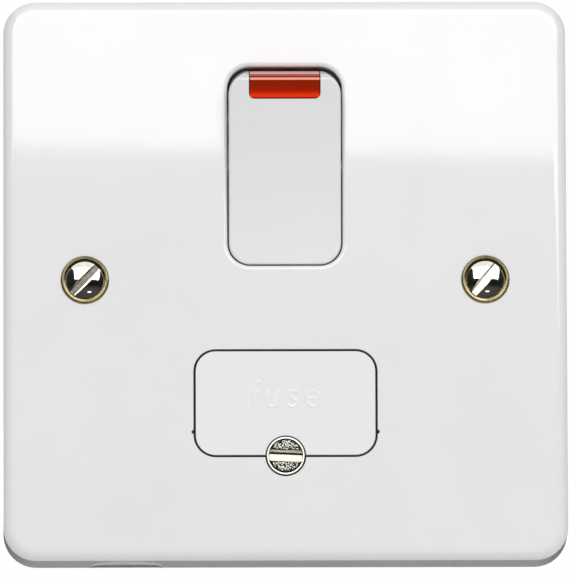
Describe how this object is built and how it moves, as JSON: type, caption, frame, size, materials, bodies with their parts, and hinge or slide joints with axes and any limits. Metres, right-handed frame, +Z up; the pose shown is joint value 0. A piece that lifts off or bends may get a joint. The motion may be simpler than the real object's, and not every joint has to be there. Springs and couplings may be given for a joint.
{
  "type": "fused spur unit",
  "caption": "Square wall plate with a neon-lit rocker switch, a pull-out fuse carrier held by a screw, fixing screws in brass cups and a moulded base with wire terminals behind.",
  "frame": {"origin": "middle of the plate's back plane, between the two fixing screws", "axes": "+Y into the wall, +Z up, +X to the right as seen from the front"},
  "size_m": [0.085, 0.0331, 0.085],
  "materials": {
    "white_plate": "gloss moulded urea, white",
    "base_moulding": "satin moulded thermoset, off-white",
    "red_lens": "clear red moulding",
    "plunger_nylon": "natural nylon",
    "spring_steel": "bright drawn wire",
    "brass": "bright pressed or machined brass",
    "silver_tip": "silver alloy",
    "fuse_ceramic": "unglazed ceramic tube",
    "nickel": "bright nickel plate",
    "screw_steel": "yellow passivated steel",
    "lamp_glass": "clear glass bulb",
    "resistor_body": "coated film resistor",
    "tinned_wire": "tinned copper"
  },
  "bodies": {
    "housing": {"front_plate": "white_plate", "base": "base_moulding", "cord_clamp": "base_moulding", "fixed_tip_line": "silver_tip", "fixed_tip_neutral": "silver_tip", "supply_strip_line": "brass", "supply_strip_neutral": "brass", "pivot_strip_line": "brass", "pivot_strip_neutral": "brass", "load_strip_line": "brass", "fuse_clip_supply": "brass", "fuse_clip_load": "brass", "carrier_screw_insert": "brass", "terminal_line_supply": "brass", "terminal_neutral_supply": "brass", "terminal_earth_supply": "brass", "terminal_line_load": "brass", "terminal_neutral_load": "brass", "terminal_earth_load": "brass", "terminal_screws": "screw_steel", "earth_strap": "brass", "earth_bar": "brass", "base_screws": "screw_steel", "fixing_screws": "nickel", "neon_lamp": "lamp_glass", "neon_resistor": "resistor_body", "neon_lead_line": "tinned_wire", "neon_lead_neutral": "tinned_wire", "cord_clamp_screws": "screw_steel"},
    "rocker": {"rocker": "white_plate", "neon_lens": "red_lens", "plunger_line": "plunger_nylon", "plunger_neutral": "plunger_nylon", "plunger_spring_line": "spring_steel", "plunger_spring_neutral": "spring_steel"},
    "line_contact": {"moving_contact_line": "brass", "moving_tip_line": "silver_tip"},
    "neutral_contact": {"moving_contact_neutral": "brass", "moving_tip_neutral": "silver_tip"},
    "fuse_drawer": {"fuse_carrier": "white_plate", "fuse_tube": "fuse_ceramic", "fuse_cap_supply": "nickel", "fuse_cap_load": "nickel"},
    "fuse_screw": {"fuse_carrier_screw": "nickel"}
  },
  "joints": [
    {"name": "rocker_tilt", "type": "hinge", "parent": "housing", "child": "rocker", "pos_m": [0, -0.005, 0.01735], "axis": [-1, 0, 0], "range_deg": [0, 13]},
    {"name": "line_contact_tilt", "type": "hinge", "parent": "housing", "child": "line_contact", "pos_m": [0.0042, 0.0047, 0.01735], "axis": [1, 0, 0], "range_deg": [0, 16.5]},
    {"name": "neutral_contact_tilt", "type": "hinge", "parent": "housing", "child": "neutral_contact", "pos_m": [-0.0042, 0.0047, 0.01735], "axis": [1, 0, 0], "range_deg": [0, 16.5]},
    {"name": "fuse_carrier_slide", "type": "slide", "parent": "housing", "child": "fuse_drawer", "axis": [0, -1, 0], "range_m": [0, 0.02]},
    {"name": "fuse_screw_turn", "type": "hinge", "parent": "fuse_drawer", "child": "fuse_screw", "pos_m": [0, -0.00745, -0.0267], "axis": [0, -1, 0], "continuous": true}
  ],
  "couplings": [
    {"joint": "line_contact_tilt", "follows": "rocker_tilt", "ratio": 1.2692},
    {"joint": "neutral_contact_tilt", "follows": "rocker_tilt", "ratio": 1.2692}
  ]
}
